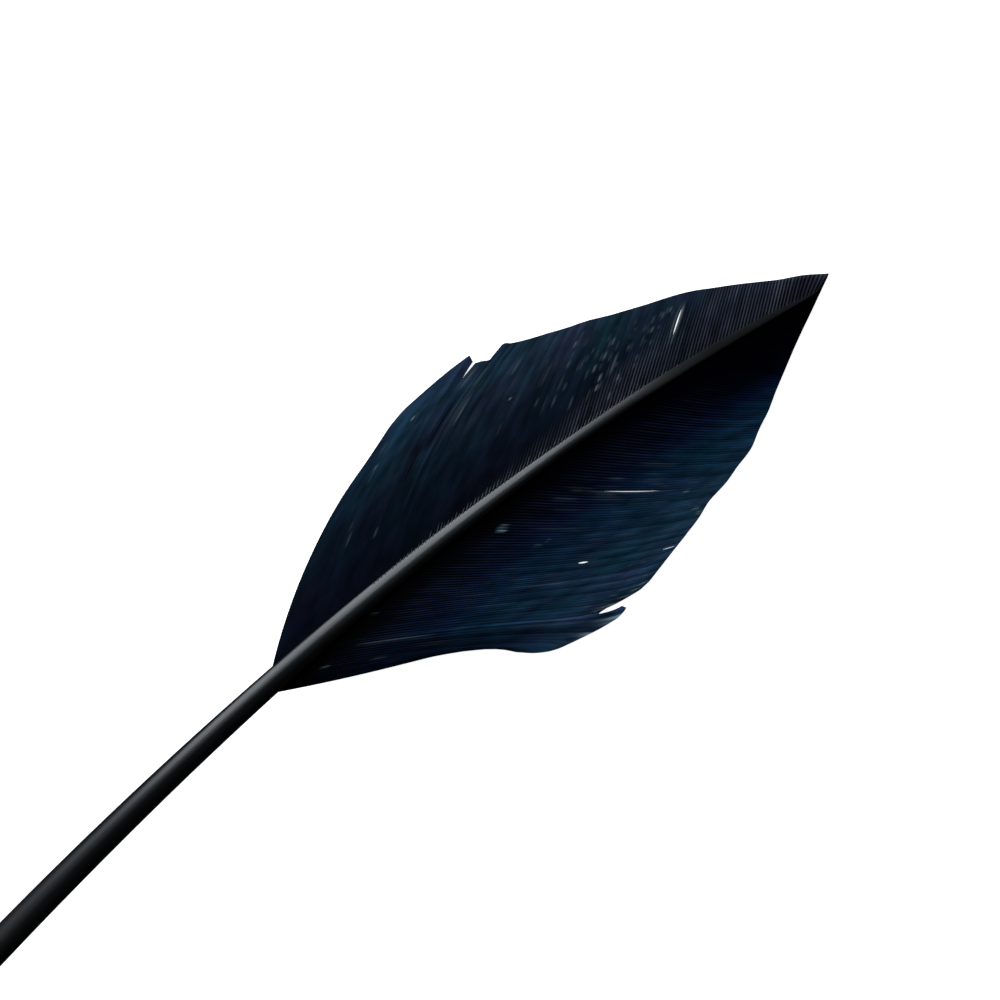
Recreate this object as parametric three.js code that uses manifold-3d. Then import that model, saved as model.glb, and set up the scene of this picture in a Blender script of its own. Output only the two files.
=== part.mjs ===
// A dyed turkey wing quill, stripped up to a short leaf-shaped vane, lying with its outer face up.
// The whole feather grew as one piece: a hollow quill that runs on as the solid shaft, and a vane on each
// side of the shaft, whose barbs cling together in locks. Millimetres, +Z up. X runs from the quill's end
// to the feather's tip, and Y points to the left of somebody looking along it.
// "Along" is a distance measured along the shaft's middle line, from the quill's end.

import * as THREE from 'three';
import { mergeVertices } from 'three/addons/utils/BufferGeometryUtils.js';
import Module from 'manifold-3d';

// The shaft's middle line seen from above: four control points of one cubic curve that bows to the left.
const SHAFT_LINE = [[0, 0], [74, 15.7], [201, 22.3], [277.9, 0]];
const SHAFT_LENGTH = 280;

// Middle of the feather's box on that plan. It is moved to the origin.
const BOX_MIDDLE = [140.35, 7.65];

// The shaft: [along, width]. It is widest in the quill and runs out to a hair at the tip.
const SHAFT_WIDTHS = [[0, 4.2], [14, 4.9], [45, 5.9], [104, 5.35], [165, 4.15], [206, 3.15], [234, 2.05],
  [260, 1.1], [280, 0.5]];
const SHAFT_HEIGHT_SHARE = 1.08;
const SHAFT_SIDES = 16;
const SHAFT_STEP = 6.4;

// The shaft's middle rises by this much in the middle of its length.
const SHAFT_ARCH = 6.2;

// The solid shaft's section is an oval whose sides are flattened by this power. The quill's is round.
const SQUARENESS = 0.86;

// The quill's natural end is rounded, with a small pit in it: [along, share of the section's size].
const QUILL_END = [[2.2, 0.08], [0.5, 0.2], [0, 0.32], [0.25, 0.52], [1.1, 0.75], [2.6, 0.9], [4.8, 0.98]];

// The groove along the shaft's underside starts where the quill ends.
const GROOVE_FROM = 78;
const GROOVE_FULL = 120;
const GROOVE_DEPTH_SHARE = 0.42;

// The left vane: [along where a barb leaves the shaft, x, y of that barb's end].
const LEFT_MARGIN = [[166, 190.4, 28.0], [169, 200.5, 30.6], [172, 207.5, 32.2], [175, 213.5, 33.0],
  [178, 217.9, 32.8], [182.5, 222.5, 32.7], [186.5, 226.6, 32.2], [188, 227.6, 30.6], [190.5, 229.2, 29.3],
  [191.5, 231.6, 29.6], [200, 234.4, 28.2], [215, 241.2, 24.8], [232, 250.4, 20.2], [248, 260.6, 15.4],
  [257, 265.7, 12.0], [265, 270.5, 8.6], [272.5, 275.1, 5.3], [280, 280.7, 1.1]];
// [along, degrees between the shaft and a barb that leaves it there].
const LEFT_ANGLES = [[166, 31.5], [172, 34], [186, 38], [232, 40], [265, 46], [280, 51]];
// Where a barb's bend lies, as a share of its length.
const LEFT_BEND = 0.5;

// The right vane, in the same way. Its first locks sag away from the rest and end in a loose point, before a
// notch: [along, how far the barb that leaves there sags sideways by its end].
const RIGHT_MARGIN = [[163.5, 198.3, -10.1], [166, 200.6, -12.3], [168.5, 203.4, -14.1], [171, 207, -15.5],
  [174, 212.4, -16.7], [176.5, 217.9, -17.7], [178, 221.1, -16.5], [184, 224.6, -16.3], [191, 228.6, -15.6],
  [198.5, 232.6, -14.9], [207, 237.2, -14.0], [217, 242.6, -13.1], [232, 251.4, -11.4], [240.5, 255.6, -9.7],
  [248.5, 259.6, -8.0], [256.5, 263.8, -5.8], [264.5, 268.4, -3.8], [272.3, 273, -1.9], [280, 278.4, -0.1]];
const RIGHT_ANGLES = [[163.5, 30.5], [168, 29.5], [173, 30], [180, 32], [198, 41], [280, 46]];
const RIGHT_BEND = 0.6;
const RIGHT_SAG = [[163.5, 4.4], [170, 2.4], [178, 0], [280, 0]];
const NO_SAG = [[0, 0], [280, 0]];
const SAG_POWER = 4;

// Where the vane has split: [x, y] of the split's inner end and of the two sides of its mouth. The wedge that
// opens a split is cut through from under the vane to above it.
const SPLITS = [
  [[223.0, 30.5], [227.0, 32.6], [227.5, 31.5]],
  [[212.2, -14.3], [218.0, -18.6], [222.4, -17.2]],
];
const SPLIT_FROM = -2;
const SPLIT_DEPTH = 12;

// Barbs start inside the shaft, a little above its middle, and sink to the surface at the margin. The shares
// are of the shaft's half width and half height there.
const ROOT_SHARE = 0.55;
const ROOT_RISE_SHARE = 0.15;
const MARGIN_HEIGHT = 0.35;

// The left vane is arched: it leaves the shaft level and turns down to its margin. The right vane sinks near
// the shaft and runs out flat.
const ARCH_POWER = 1.6;
const SINK_POWER = 1.4;
const arched = (t) => 1 - t ** ARCH_POWER;
const sinking = (t) => (1 - t) ** SINK_POWER;

// How far a vane reaches below and above its middle layer, and how much more on a lock's crown: a share of
// the lock's width at the shaft, up to a limit.
const VANE_UNDER = 0.35;
const VANE_OVER = 0.2;
const CROWN_SHARE = 0.16;
const CROWN_MOST = 0.35;

// Locks on each side. They grow wider towards the tip, and a shallow notch parts two of them at the margin.
const LOCKS = 34;
const LOCK_GROWTH = 1.4;
const NOTCH_DEPTH = 0.5;
const NOTCH_LIMIT_SHARE = 0.06;

// Where a barb has a point, as shares of its length. They are closer near the shaft, where it bends most.
const BARB_STEPS = [0, 0.08, 0.2, 0.36, 0.52, 0.68, 0.84, 1];

// Points nearer to each other than this are one point.
const SAME_POINT = 1e-4;

const shaftCurve = new THREE.CubicBezierCurve(...SHAFT_LINE.map(([x, y]) => new THREE.Vector2(x, y)));
shaftCurve.arcLengthDivisions = 800;

// A smooth curve through rows of [key, value, ...] that never swings past its rows.
function along(rows, key) {
  let i = 0;
  while (i < rows.length - 2 && key > rows[i + 1][0]) {
    i += 1;
  }
  const slope = (k, c) => (rows[k + 1][c] - rows[k][c]) / (rows[k + 1][0] - rows[k][0]);
  const tangent = (k, c) => {
    if (k === 0) {
      return slope(0, c);
    }
    if (k === rows.length - 1) {
      return slope(k - 1, c);
    }
    const before = slope(k - 1, c);
    const after = slope(k, c);
    return before * after <= 0 ? 0 : (2 * before * after) / (before + after);
  };
  const gap = rows[i + 1][0] - rows[i][0];
  const q = THREE.MathUtils.clamp((key - rows[i][0]) / gap, 0, 1);
  const values = [];
  for (let c = 1; c < rows[i].length; c += 1) {
    values.push(
      (2 * q ** 3 - 3 * q ** 2 + 1) * rows[i][c]
      + (q ** 3 - 2 * q ** 2 + q) * gap * tangent(i, c)
      + (3 * q ** 2 - 2 * q ** 3) * rows[i + 1][c]
      + (q ** 3 - q ** 2) * gap * tangent(i + 1, c),
    );
  }
  return values;
}

// The shaft at a distance along it: its place and heading on the plan, half its width and height, and the
// height of its middle above the surface. It arches from the quill's end to the tip, and rests at both.
function shaftAt(distance) {
  const u = THREE.MathUtils.clamp(distance / SHAFT_LENGTH, 0, 1);
  const halfWidth = along(SHAFT_WIDTHS, distance)[0] / 2;
  const halfHeight = halfWidth * SHAFT_HEIGHT_SHARE;
  return {
    place: shaftCurve.getPointAt(u),
    heading: shaftCurve.getTangentAt(u),
    halfWidth,
    halfHeight,
    middle: halfHeight + SHAFT_ARCH * Math.sin(Math.PI * u),
  };
}

// One point of the shaft's skin. The section is an oval with flattened sides and a groove underneath.
function skinPoint(distance, side, share) {
  const { place, heading, halfWidth, halfHeight, middle } = shaftAt(distance);
  const angle = (2 * Math.PI * side) / SHAFT_SIDES;
  const grown = THREE.MathUtils.smoothstep(distance, GROOVE_FROM, GROOVE_FULL);
  const power = THREE.MathUtils.lerp(1, SQUARENESS, grown);
  const bulge = (value) => Math.sign(value) * Math.abs(value) ** power;
  const across = halfWidth * share * bulge(Math.cos(angle));
  let up = halfHeight * share * bulge(Math.sin(angle));
  if (side === 0.75 * SHAFT_SIDES) {
    up += grown * GROOVE_DEPTH_SHARE * halfHeight;
  }
  return [place.x - across * heading.y, place.y + across * heading.x, middle + up];
}

function solidFrom(points, triangles) {
  const geometry = new THREE.BufferGeometry();
  geometry.setAttribute('position', new THREE.Float32BufferAttribute(points.flat(), 3));
  geometry.setIndex(triangles.flat());
  return geometry;
}

function buildShaft() {
  const rings = [...QUILL_END];
  const rounded = QUILL_END.at(-1)[0];
  const steps = Math.round((SHAFT_LENGTH - rounded) / SHAFT_STEP);
  for (let i = 1; i <= steps; i += 1) {
    rings.push([THREE.MathUtils.lerp(rounded, SHAFT_LENGTH, i / steps), 1]);
  }
  const points = [];
  for (const [distance, share] of rings) {
    for (let side = 0; side < SHAFT_SIDES; side += 1) {
      points.push(skinPoint(distance, side, share));
    }
  }
  const triangles = [];
  for (let ring = 0; ring < rings.length - 1; ring += 1) {
    for (let side = 0; side < SHAFT_SIDES; side += 1) {
      const a = ring * SHAFT_SIDES + side;
      const b = ring * SHAFT_SIDES + ((side + 1) % SHAFT_SIDES);
      triangles.push([a, b, b + SHAFT_SIDES], [a, b + SHAFT_SIDES, a + SHAFT_SIDES]);
    }
  }
  const last = (rings.length - 1) * SHAFT_SIDES;
  for (let side = 1; side < SHAFT_SIDES - 1; side += 1) {
    triangles.push([0, side + 1, side]);
    triangles.push([last, last + side, last + side + 1]);
  }
  return solidFrom(points, triangles);
}

const VANES = [
  { side: 1, margin: LEFT_MARGIN, angles: LEFT_ANGLES, bend: LEFT_BEND, sags: NO_SAG, fall: arched },
  { side: -1, margin: RIGHT_MARGIN, angles: RIGHT_ANGLES, bend: RIGHT_BEND, sags: RIGHT_SAG, fall: sinking },
];

// A point of a vane's middle layer. A barb is a curve of three control points on the plan: its root in the
// shaft, a point straight on from there, and its end on the margin, to which it may sag sideways.
function vanePoint({ side, margin, angles, bend, sags, fall }, distance, t, notch) {
  const shaft = shaftAt(distance);
  const inset = side * ROOT_SHARE * shaft.halfWidth;
  const across = new THREE.Vector2(-shaft.heading.y, shaft.heading.x);
  const root = shaft.place.clone().addScaledVector(across, inset);
  const sag = side * along(sags, distance)[0];
  const end = new THREE.Vector2(...along(margin, distance));
  end.y -= sag;
  const length = root.distanceTo(end);
  const turn = side * THREE.MathUtils.degToRad(along(angles, distance)[0]);
  const leaving = shaft.heading.clone().rotateAround(new THREE.Vector2(), turn);
  const elbow = root.clone().addScaledVector(leaving, bend * length);
  const reach = 1 - notch * Math.min(NOTCH_DEPTH / length, NOTCH_LIMIT_SHARE);
  const place = new THREE.QuadraticBezierCurve(root, elbow, end).getPoint(t * reach);
  const rootHeight = Math.max(shaft.middle + ROOT_RISE_SHARE * shaft.halfHeight, MARGIN_HEIGHT);
  const height = MARGIN_HEIGHT + (rootHeight - MARGIN_HEIGHT) * fall(t);
  return [place.x, place.y + sag * (t * reach) ** SAG_POWER, height];
}

// A vane is a sheet of locks side by side. A lock is highest along its middle and reaches furthest there.
// Columns of points run along the barbs: even ones lie between two locks, and odd ones on a lock's crown.
function buildVane(vane) {
  const columns = 2 * LOCKS + 1;
  const rows = BARB_STEPS.length;
  const points = [];
  const leaves = (column) => {
    const share = (column / (columns - 1)) ** LOCK_GROWTH;
    return THREE.MathUtils.lerp(vane.margin[0][0], SHAFT_LENGTH, share);
  };
  for (let column = 0; column < columns; column += 1) {
    const valley = column % 2 === 0;
    const notch = valley && column > 0 && column < columns - 1 ? 1 : 0;
    const crown = valley ? 0 : Math.min(CROWN_MOST, CROWN_SHARE * (leaves(column + 1) - leaves(column - 1)));
    for (const t of BARB_STEPS) {
      const [x, y, z] = vanePoint(vane, leaves(column), t, notch);
      points.push([x, y, z - VANE_UNDER], [x, y, z + VANE_OVER + crown]);
    }
  }
  const under = (column, row) => 2 * (column * rows + row);
  const over = (column, row) => under(column, row) + 1;
  const triangles = [];
  const quad = (a, b, c, d) => triangles.push([a, b, c], [a, c, d]);
  for (let column = 0; column < columns - 1; column += 1) {
    for (let row = 0; row < rows - 1; row += 1) {
      quad(over(column, row), over(column + 1, row), over(column + 1, row + 1), over(column, row + 1));
      quad(under(column, row), under(column, row + 1), under(column + 1, row + 1), under(column + 1, row));
    }
    quad(over(column, 0), under(column, 0), under(column + 1, 0), over(column + 1, 0));
    const edge = rows - 1;
    quad(over(column, edge), over(column + 1, edge), under(column + 1, edge), under(column, edge));
  }
  for (let row = 0; row < rows - 1; row += 1) {
    const last = columns - 1;
    quad(over(0, row), over(0, row + 1), under(0, row + 1), under(0, row));
    quad(over(last, row), under(last, row), under(last, row + 1), over(last, row + 1));
  }
  const facing = vane.side > 0 ? triangles : triangles.map(([a, b, c]) => [a, c, b]);
  return solidFrom(points, facing);
}

// An upright wedge that opens a split in the vane.
function buildSplit(corners) {
  const outline = new THREE.Shape(corners.map(([x, y]) => new THREE.Vector2(x, y)));
  const wedge = new THREE.ExtrudeGeometry(outline, { depth: SPLIT_DEPTH, bevelEnabled: false });
  return wedge.translate(0, 0, SPLIT_FROM);
}

const wasm = await Module();
wasm.setup();

function toManifold(geometry) {
  geometry.deleteAttribute('normal');
  geometry.deleteAttribute('uv');
  const merged = mergeVertices(geometry, SAME_POINT);
  return new wasm.Manifold(new wasm.Mesh({
    numProp: 3,
    vertProperties: new Float32Array(merged.attributes.position.array),
    triVerts: new Uint32Array(merged.index.array),
  }));
}

function toGeometry(solid) {
  const mesh = solid.getMesh();
  const geometry = new THREE.BufferGeometry();
  geometry.setAttribute('position', new THREE.BufferAttribute(mesh.vertProperties, 3));
  geometry.setIndex(new THREE.BufferAttribute(mesh.triVerts, 1));
  geometry.computeVertexNormals();
  return geometry;
}

let grown = toManifold(buildShaft());
for (const vane of VANES) {
  grown = grown.add(toManifold(buildVane(vane)));
}
for (const corners of SPLITS) {
  grown = grown.subtract(toManifold(buildSplit(corners)));
}

// Keratin, dyed a blue black.
const dyedKeratin = new THREE.MeshStandardMaterial({ color: 0x101c2a, roughness: 0.5, metalness: 0 });
const feather = new THREE.Mesh(toGeometry(grown), dyedKeratin);
feather.name = 'feather';
feather.position.set(-BOX_MIDDLE[0], -BOX_MIDDLE[1], 0);

const part = new THREE.Group();
part.add(feather);

export default part;
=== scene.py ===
import math

import bmesh
import bpy
import numpy as np
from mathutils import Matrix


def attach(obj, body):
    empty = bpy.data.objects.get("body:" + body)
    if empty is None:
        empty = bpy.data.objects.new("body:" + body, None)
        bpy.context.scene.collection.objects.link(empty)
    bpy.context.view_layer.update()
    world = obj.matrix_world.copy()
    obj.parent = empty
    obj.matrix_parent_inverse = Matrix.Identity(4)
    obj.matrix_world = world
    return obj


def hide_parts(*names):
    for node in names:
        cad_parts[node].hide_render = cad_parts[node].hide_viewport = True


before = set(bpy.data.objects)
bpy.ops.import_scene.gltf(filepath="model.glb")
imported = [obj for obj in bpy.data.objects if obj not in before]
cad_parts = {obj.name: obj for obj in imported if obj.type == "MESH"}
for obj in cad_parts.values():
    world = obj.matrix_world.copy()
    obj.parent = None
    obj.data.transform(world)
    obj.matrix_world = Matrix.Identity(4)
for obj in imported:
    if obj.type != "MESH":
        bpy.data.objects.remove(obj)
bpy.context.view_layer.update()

# Sizes are in mm, and turned to metres where a mesh is made. The shaft's line on the plan is given by the
# four control points of its curve, from the quill's end, and its widths by the distance along it.
MM = 0.001
SHAFT_LINE = ((0, 0), (74, 15.3), (201, 22.3), (277.9, 0))
SHAFT_LENGTH = 280
# The middle of the solid's box on that plan, which is the origin of the frame.
BOX_MIDDLE = (140.35, 7.65)
SHAFT_WIDTHS = ((0, 4.2), (14, 4.9), (45, 5.9), (104, 5.25), (165, 4.05), (206, 3.15), (234, 2.3),
                (250, 2.0), (262, 1.75), (272, 1.3), (280, 0.2))
SHAFT_HEIGHT_SHARE = 1.08
SHAFT_ARCH = 6.2
SHAFT_SIDES = 24
SHAFT_STEP = 5.5
SHAFT_FINENESS = 2
# Distance along the shaft and share of its full section, from the small pit in the quill's end outwards.
QUILL_END = ((2.2, 0.08), (0.5, 0.2), (0, 0.32), (0.25, 0.52), (1.1, 0.75), (2.6, 0.9), (4.8, 0.98))
GROOVE_FROM = 78
GROOVE_FULL = 120
GROOVE_DEPTH_SHARE = 0.42
GROOVE_SIDE_SHARE = 0.3
SHOULDER_SPREAD = 1.05
# Along the vanes the shaft's back is flatter than its belly, and turned a little to the left.
BACK_HEIGHTS = ((0, 1), (130, 1), (160, 0.8), (190, 0.6), (225, 0.5), (280, 0.5))
BACK_TURNS = ((0, 0), (130, 0), (160, 5), (185, 10), (205, 13), (222, 15), (245, 10), (280, 8))
# Which points of a ring an edit takes: by their distance from its plane in mm, and from the middle line in
# spaces between points, or in half widths for the shoulders.
RING_REACH = 0.4 * SHAFT_STEP
GROOVE_FLOOR_SPAN = 0.3
GROOVE_SIDE_SPAN = 1.3
SHOULDER_SPAN = (0.45, 0.9)
# How many straight pieces stand for the line's curve.
LINE_RESOLUTION = 256


def along(rows, key):
    """A smooth curve through rows of (key, value, ...) that never swings past its rows."""
    rows = np.array(rows, float)
    key = np.asarray(key, float)
    keys = rows[:, 0]
    values = rows[:, 1:]
    slopes = np.diff(values, axis=0) / np.diff(keys)[:, None]
    before = slopes[:-1]
    after = slopes[1:]
    level = before * after <= 0
    inner = np.where(level, 0, 2 * before * after / np.where(level, 1, before + after))
    tangents = np.vstack([slopes[:1], inner, slopes[-1:]])
    i = np.clip(np.searchsorted(keys, key) - 1, 0, len(keys) - 2)
    gap = (keys[i + 1] - keys[i])[..., None]
    q = np.clip((key[..., None] - keys[i][..., None]) / gap, 0, 1)
    start = (2 * q ** 3 - 3 * q ** 2 + 1) * values[i] + (q ** 3 - 2 * q ** 2 + q) * gap * tangents[i]
    end = (3 * q ** 2 - 2 * q ** 3) * values[i + 1] + (q ** 3 - q ** 2) * gap * tangents[i + 1]
    return start + end


def smooth(low, high, value):
    """0 below low, 1 above high, and a soft step between."""
    q = np.clip((value - low) / (high - low), 0, 1)
    return q * q * (3 - 2 * q)


def shaft_size(distance):
    """Half the shaft's width and height, and the height of its middle, in mm."""
    half_width = along(SHAFT_WIDTHS, distance)[..., 0] / 2
    half_height = half_width * SHAFT_HEIGHT_SHARE
    middle = half_height + SHAFT_ARCH * np.sin(math.pi * np.clip(distance / SHAFT_LENGTH, 0, 1))
    return half_width, half_height, middle


def reshape(mesh, wanted, change, **settings):
    """Selects, in edit mode, the points whose place passes the test, and changes them with an operator."""
    edit = bmesh.from_edit_mesh(mesh)
    for vertex in edit.verts:
        vertex.select = wanted(vertex.co)
    edit.select_flush_mode()
    bmesh.update_edit_mesh(mesh)
    change(**settings)


rings = list(QUILL_END)
rounded = QUILL_END[-1][0]
plain_steps = round((SHAFT_LENGTH - rounded) / SHAFT_STEP)
for step in range(1, plain_steps + 1):
    rings.append((rounded + (SHAFT_LENGTH - rounded) * step / plain_steps, 1))

bpy.ops.object.select_all(action="DESELECT")
# Distance, half width, half height and middle of the last ring. The first is a circle of 1 mm radius.
last = (0, 1, 1, 0)
bpy.ops.mesh.primitive_circle_add(vertices=SHAFT_SIDES, radius=MM, fill_type="NGON",
                                  rotation=(0, math.pi / 2, 0))
shaft = bpy.context.object
shaft.name = "shaft"
bpy.ops.object.transform_apply()
bpy.ops.object.mode_set(mode="EDIT")
bpy.ops.mesh.select_mode(type="FACE")
bpy.ops.mesh.select_all(action="SELECT")
for order, (distance, share) in enumerate(rings):
    wide, high, middle = (float(v) for v in shaft_size(distance))
    wide *= share
    high *= share
    step = ((distance - last[0]) * MM, 0, (middle - last[3]) * MM)
    if order == 0:
        bpy.ops.transform.translate(value=step)
    else:
        bpy.ops.mesh.extrude_region_move(TRANSFORM_OT_translate={"value": step})
    bpy.ops.transform.resize(value=(1, wide / last[1], high / last[2]),
                             center_override=(distance * MM, 0, middle * MM))
    last = (distance, wide, high, middle)

# Along the vanes, ring by ring: the groove underneath, the square shoulders, and the flatter back that is
# turned a little to the left.
bpy.ops.mesh.select_mode(type="VERT")
beside = math.sin(2 * math.pi / SHAFT_SIDES)
for distance, _ in rings[len(QUILL_END):]:
    wide, high, middle = (float(v) * MM for v in shaft_size(distance))
    grown = float(smooth(GROOVE_FROM, GROOVE_FULL, distance))
    flat = float(along(BACK_HEIGHTS, distance)[0])
    centre = (distance * MM, 0, middle)
    deep = grown * GROOVE_DEPTH_SHARE * high
    spread = 1 + grown * (SHOULDER_SPREAD - 1)

    def in_ring(co):
        return abs(co.x - centre[0]) < RING_REACH * MM

    def groove_floor(co):
        return in_ring(co) and co.z < middle and abs(co.y) < GROOVE_FLOOR_SPAN * beside * wide

    def groove_sides(co):
        near = GROOVE_FLOOR_SPAN * beside * wide
        far = GROOVE_SIDE_SPAN * beside * wide
        return in_ring(co) and co.z < middle and near < abs(co.y) < far

    def shoulders(co):
        return in_ring(co) and SHOULDER_SPAN[0] * wide < abs(co.y) < SHOULDER_SPAN[1] * wide

    def back(co):
        return in_ring(co) and co.z > middle

    if grown > 0:
        reshape(shaft.data, groove_floor, bpy.ops.transform.translate, value=(0, 0, deep))
        reshape(shaft.data, groove_sides, bpy.ops.transform.translate,
                value=(0, 0, GROOVE_SIDE_SHARE * deep))
        reshape(shaft.data, shoulders, bpy.ops.transform.resize, value=(1, spread, spread),
                center_override=centre)
    if flat < 1:
        reshape(shaft.data, back, bpy.ops.transform.resize, value=(1, 1, flat), center_override=centre)
        reshape(shaft.data, in_ring, bpy.ops.transform.rotate, orient_axis="X", center_override=centre,
                value=math.radians(along(BACK_TURNS, distance)[0]))
bpy.ops.mesh.select_all(action="SELECT")
bpy.ops.mesh.normals_make_consistent(inside=False)
bpy.ops.object.mode_set(mode="OBJECT")

# The grain follows the shaft, so each point keeps its place on the straight stem, in mm.
straight = np.empty(len(shaft.data.vertices) * 3, np.float32)
shaft.data.vertices.foreach_get("co", straight)
shaft.data.attributes.new("stem", "FLOAT_VECTOR", "POINT").data.foreach_set("vector", straight / MM)

bpy.ops.curve.primitive_bezier_curve_add()
bow = bpy.context.object
bow.data.resolution_u = LINE_RESOLUTION
bow.data.twist_mode = "Z_UP"
root_end, tip_end = bow.data.splines[0].bezier_points
controls = [((x - BOX_MIDDLE[0]) * MM, (y - BOX_MIDDLE[1]) * MM, 0) for x, y in SHAFT_LINE]
for point in (root_end, tip_end):
    point.handle_left_type = "FREE"
    point.handle_right_type = "FREE"
root_end.handle_left, root_end.co, root_end.handle_right = controls[0], controls[0], controls[1]
tip_end.handle_left, tip_end.co, tip_end.handle_right = controls[2], controls[3], controls[3]

bpy.ops.object.select_all(action="DESELECT")
shaft.select_set(True)
bpy.context.view_layer.objects.active = shaft
bend = shaft.modifiers.new("bow", "CURVE")
bend.object = bow
bend.deform_axis = "POS_X"
bpy.ops.object.modifier_apply(modifier="bow")
fine = shaft.modifiers.new("fine", "SUBSURF")
fine.levels = SHAFT_FINENESS
fine.render_levels = SHAFT_FINENESS
bpy.ops.object.modifier_apply(modifier="fine")
bpy.ops.object.shade_smooth()
bpy.data.objects.remove(bow)


def linear(hex_colour):
    """An sRGB hex colour as the linear colour that a shader socket takes."""
    channels = [int(hex_colour[i:i + 2], 16) / 255 for i in (1, 3, 5)]
    return [c / 12.92 if c <= 0.04045 else ((c + 0.055) / 1.055) ** 2.4 for c in channels] + [1]


def node(tree, kind, links=None, **settings):
    """Adds a node. Settings are its own; links give each input a node or socket to join, or a value."""
    made = tree.nodes.new(kind)
    for name, value in settings.items():
        setattr(made, name, value)
    for name, source in (links or {}).items():
        if isinstance(source, bpy.types.Node):
            source = source.outputs[0]
        if isinstance(source, bpy.types.NodeSocket):
            tree.links.new(source, made.inputs[name])
        else:
            made.inputs[name].default_value = source
    return made


def ramp(tree, factor, stops):
    """A colour ramp with (position, colour) stops, read at a factor."""
    made = node(tree, "ShaderNodeValToRGB", {"Fac": factor})
    elements = made.color_ramp.elements
    while len(elements) < len(stops):
        elements.new(1)
    for element, (position, colour) in zip(elements, stops):
        element.position = position
        element.color = colour
    return made.outputs["Color"]


def new_material(name):
    """An empty material, its node tree and its Principled shader."""
    made = bpy.data.materials.new(name)
    made.use_nodes = True
    return made, made.node_tree, made.node_tree.nodes["Principled BSDF"]


# Keratin dyed black: a horn-like skin, scraped satin smooth on the quill and drier towards the tip. The eye
# gets one soft long highlight, broken by a fine lengthwise grain.
ROUGHNESS_STOPS = ((90, 0.6), (122, 0.42), (145, 0.32), (190, 0.32), (208, 0.29), (228, 0.29), (243, 0.46),
                   (251, 0.8), (260, 1.0))
# The finest grain is 0.12 mm wide and nine times as long, and the noise's widest swirl is six grains wide.
# Its relief is 0.05 mm deep, and softened. Patches 2 mm wide and nine times as long are duller or shinier.
GRAIN_WIDTH = 0.12
GRAIN_STRETCH = 9
GRAIN_SWIRL = 6
GRAIN_DEPTH = 0.05
GRAIN_RELIEF = 0.12
MOTTLE_WIDTH = 2
ROUGHNESS_SWING = 0.1
KERATIN_IOR = 1.54
HORN_SPECULAR = 0.42


def horn_material(name, dark, light):
    """Horn with a fine lengthwise grain between a dark and a light colour."""
    made, tree, shader = new_material(name)
    stem = node(tree, "ShaderNodeAttribute", attribute_name="stem")
    grain_at = node(tree, "ShaderNodeVectorMath", {0: stem.outputs["Vector"], 1: (1 / GRAIN_STRETCH, 1, 1)},
                    operation="MULTIPLY")
    grain = node(tree, "ShaderNodeTexNoise", {"Vector": grain_at.outputs["Vector"], "Detail": 3.0,
                                              "Scale": 1 / GRAIN_WIDTH / GRAIN_SWIRL, "Roughness": 0.6})
    mottle = node(tree, "ShaderNodeTexNoise", {"Vector": grain_at.outputs["Vector"],
                                               "Scale": 1 / MOTTLE_WIDTH, "Detail": 2.0})
    place = node(tree, "ShaderNodeSeparateXYZ", {"Vector": stem.outputs["Vector"]})
    run = node(tree, "ShaderNodeMath", {0: place.outputs["X"], 1: 1 / SHAFT_LENGTH}, operation="MULTIPLY")
    wear_stops = [(at / SHAFT_LENGTH, [r, r, r, 1]) for at, r in ROUGHNESS_STOPS]
    wear = ramp(tree, run.outputs["Value"], wear_stops)
    rough = node(tree, "ShaderNodeMath", {0: mottle.outputs["Fac"], 1: ROUGHNESS_SWING,
                                          2: -ROUGHNESS_SWING / 2}, operation="MULTIPLY_ADD")
    rough_sum = node(tree, "ShaderNodeMath", {0: wear, 1: rough.outputs["Value"]}, operation="ADD")
    dye = ramp(tree, grain.outputs["Fac"], [(0.35, linear(dark)), (0.65, linear(light))])
    relief = node(tree, "ShaderNodeBump", {"Height": grain.outputs["Fac"], "Strength": GRAIN_RELIEF,
                                           "Distance": GRAIN_DEPTH * MM})
    tree.links.new(dye, shader.inputs["Base Color"])
    tree.links.new(rough_sum.outputs["Value"], shader.inputs["Roughness"])
    tree.links.new(relief.outputs["Normal"], shader.inputs["Normal"])
    shader.inputs["IOR"].default_value = KERATIN_IOR
    shader.inputs["Specular IOR Level"].default_value = HORN_SPECULAR
    return made


shaft.data.materials.append(horn_material("dyed_keratin_horn", "#050608", "#0b0d10"))
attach(shaft, "root")
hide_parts("feather")

# The left vane
# 148 barbs that grow from the shaft's flank and cling together in one sheet, wide near its foot and
# arched down to the margin. Each barb is a thin ribbon with a ridge, the ramus, along its near side.

# The barbs' pitch by distance along the shaft, how far each reaches over its neighbours in pitches, and how
# far beside and above the shaft's middle they start, as shares of its half width and half height.
BARB_PITCHES = ((160, 0.79), (238, 0.8), (262, 0.72), (280, 0.7))
BARB_OVERLAP = 0.1
ROOT_SHARE = 0.55
ROOT_RISE_SHARE = 0.15
# The margin's height over the floor, and how late along a barb its end swings aside.
MARGIN_HEIGHT = 0.22
SAG_POWER = 8
# Where a barb has a cross section, as shares of its length. A mark shorter than 0.4 of the barb, up to
# 2.4 mm away along the shaft, brings five more, and no two are closer than 0.004.
STATIONS = (0, 0.03, 0.07, 0.13, 0.2, 0.28, 0.37, 0.46, 0.55, 0.64, 0.73, 0.82, 0.9, 0.96, 0.985, 1)
SHORT_MARK = 0.4
MARK_REACH = 2.4
MARK_STATIONS = 5
LEAST_STEP = 0.004
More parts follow.
